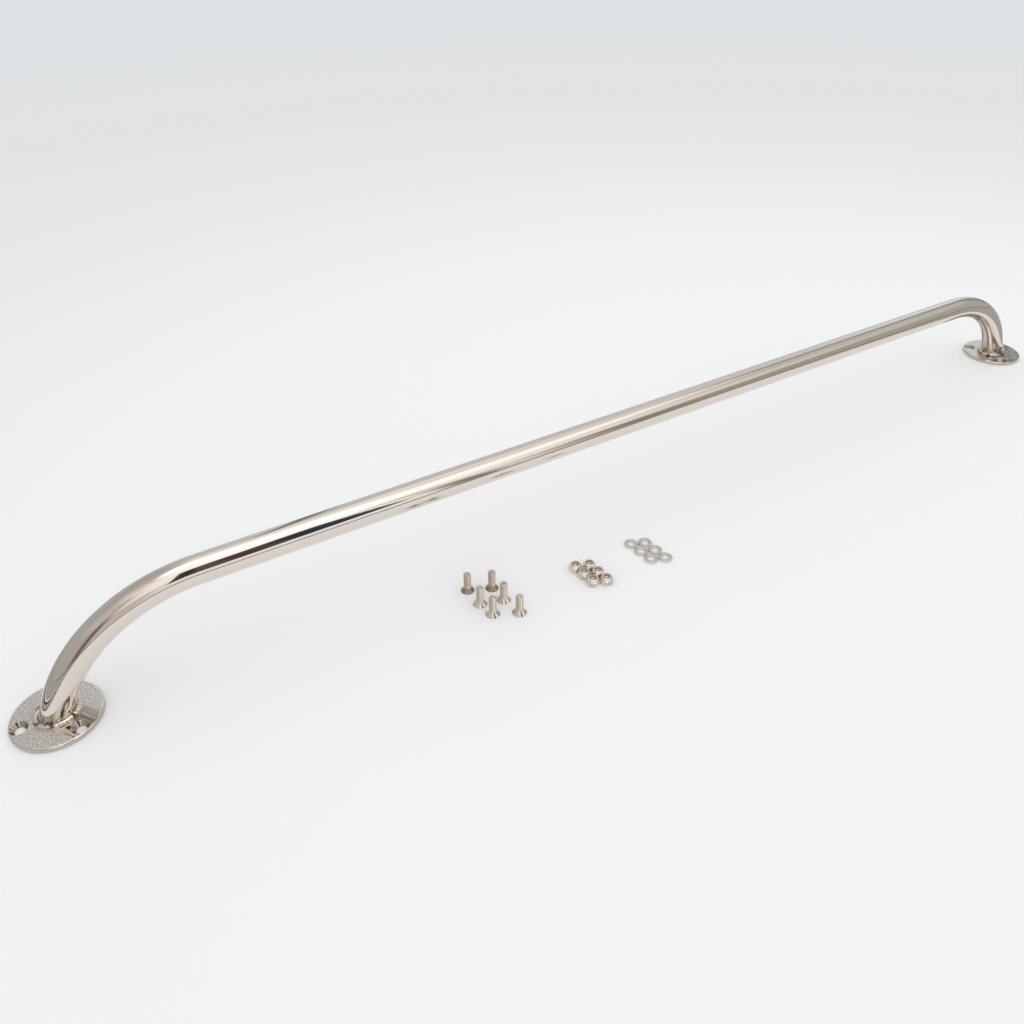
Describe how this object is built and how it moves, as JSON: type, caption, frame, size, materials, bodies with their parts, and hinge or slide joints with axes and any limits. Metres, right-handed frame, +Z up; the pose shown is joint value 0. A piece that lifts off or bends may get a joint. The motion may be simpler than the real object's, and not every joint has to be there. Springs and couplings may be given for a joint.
{
  "type": "grab rail",
  "caption": "Polished tubular grab rail for a boat: a bent tube welded to round countersunk flanges, with its loose screws, washers and lock nuts.",
  "frame": {"origin": "on the deck plane, midway between the two flange centres", "axes": "+X along the rail, +Y to the side away from the loose fasteners, +Z up from the deck"},
  "size_m": [1.118, 0.1269, 0.0945],
  "materials": {
    "polished_tube": "mirror-polished stainless steel tube",
    "cast_flange": "stainless steel plate with a fine pebbled face and a polished rim",
    "weld_metal": "rippled stainless weld with light straw and brown heat tint",
    "screw_steel": "plain stainless machine screws",
    "nut_steel": "plain stainless lock nuts",
    "washer_steel": "plain stainless flat washers",
    "nylon": "natural nylon ring"
  },
  "bodies": {
    "rail": {"rail_tube": "polished_tube", "left_flange": "cast_flange", "right_flange": "cast_flange", "left_weld": "weld_metal", "right_weld": "weld_metal"},
    "screw_1_piece": {"screw_1": "screw_steel"},
    "screw_2_piece": {"screw_2": "screw_steel"},
    "screw_3_piece": {"screw_3": "screw_steel"},
    "screw_4_piece": {"screw_4": "screw_steel"},
    "screw_5_piece": {"screw_5": "screw_steel"},
    "screw_6_piece": {"screw_6": "screw_steel"},
    "nut_1_piece": {"nut_1": "nut_steel", "nut_insert_1": "nylon"},
    "nut_2_piece": {"nut_2": "nut_steel", "nut_insert_2": "nylon"},
    "nut_3_piece": {"nut_3": "nut_steel", "nut_insert_3": "nylon"},
    "nut_4_piece": {"nut_4": "nut_steel", "nut_insert_4": "nylon"},
    "nut_5_piece": {"nut_5": "nut_steel", "nut_insert_5": "nylon"},
    "nut_6_piece": {"nut_6": "nut_steel", "nut_insert_6": "nylon"},
    "washer_1_piece": {"washer_1": "washer_steel"},
    "washer_2_piece": {"washer_2": "washer_steel"},
    "washer_3_piece": {"washer_3": "washer_steel"},
    "washer_4_piece": {"washer_4": "washer_steel"},
    "washer_5_piece": {"washer_5": "washer_steel"},
    "washer_6_piece": {"washer_6": "washer_steel"}
  },
  "joints": [
    {"name": "screw_1_lift", "type": "slide", "parent": "rail", "child": "screw_1_piece", "axis": [0, 0, 1], "range_m": [0, 0.12]},
    {"name": "screw_2_lift", "type": "slide", "parent": "rail", "child": "screw_2_piece", "axis": [0, 0, 1], "range_m": [0, 0.12]},
    {"name": "screw_3_lift", "type": "slide", "parent": "rail", "child": "screw_3_piece", "axis": [0, 0, 1], "range_m": [0, 0.12]},
    {"name": "screw_4_lift", "type": "slide", "parent": "rail", "child": "screw_4_piece", "axis": [0, 0, 1], "range_m": [0, 0.12]},
    {"name": "screw_5_lift", "type": "slide", "parent": "rail", "child": "screw_5_piece", "axis": [0, 0, 1], "range_m": [0, 0.12]},
    {"name": "screw_6_lift", "type": "slide", "parent": "rail", "child": "screw_6_piece", "axis": [0, 0, 1], "range_m": [0, 0.12]},
    {"name": "nut_1_lift", "type": "slide", "parent": "rail", "child": "nut_1_piece", "axis": [0, 0, 1], "range_m": [0, 0.12]},
    {"name": "nut_2_lift", "type": "slide", "parent": "rail", "child": "nut_2_piece", "axis": [0, 0, 1], "range_m": [0, 0.12]},
    {"name": "nut_3_lift", "type": "slide", "parent": "rail", "child": "nut_3_piece", "axis": [0, 0, 1], "range_m": [0, 0.12]},
    {"name": "nut_4_lift", "type": "slide", "parent": "rail", "child": "nut_4_piece", "axis": [0, 0, 1], "range_m": [0, 0.12]},
    {"name": "nut_5_lift", "type": "slide", "parent": "rail", "child": "nut_5_piece", "axis": [0, 0, 1], "range_m": [0, 0.12]},
    {"name": "nut_6_lift", "type": "slide", "parent": "rail", "child": "nut_6_piece", "axis": [0, 0, 1], "range_m": [0, 0.12]},
    {"name": "washer_1_lift", "type": "slide", "parent": "rail", "child": "washer_1_piece", "axis": [0, 0, 1], "range_m": [0, 0.12]},
    {"name": "washer_2_lift", "type": "slide", "parent": "rail", "child": "washer_2_piece", "axis": [0, 0, 1], "range_m": [0, 0.12]},
    {"name": "washer_3_lift", "type": "slide", "parent": "rail", "child": "washer_3_piece", "axis": [0, 0, 1], "range_m": [0, 0.12]},
    {"name": "washer_4_lift", "type": "slide", "parent": "rail", "child": "washer_4_piece", "axis": [0, 0, 1], "range_m": [0, 0.12]},
    {"name": "washer_5_lift", "type": "slide", "parent": "rail", "child": "washer_5_piece", "axis": [0, 0, 1], "range_m": [0, 0.12]},
    {"name": "washer_6_lift", "type": "slide", "parent": "rail", "child": "washer_6_piece", "axis": [0, 0, 1], "range_m": [0, 0.12]}
  ]
}
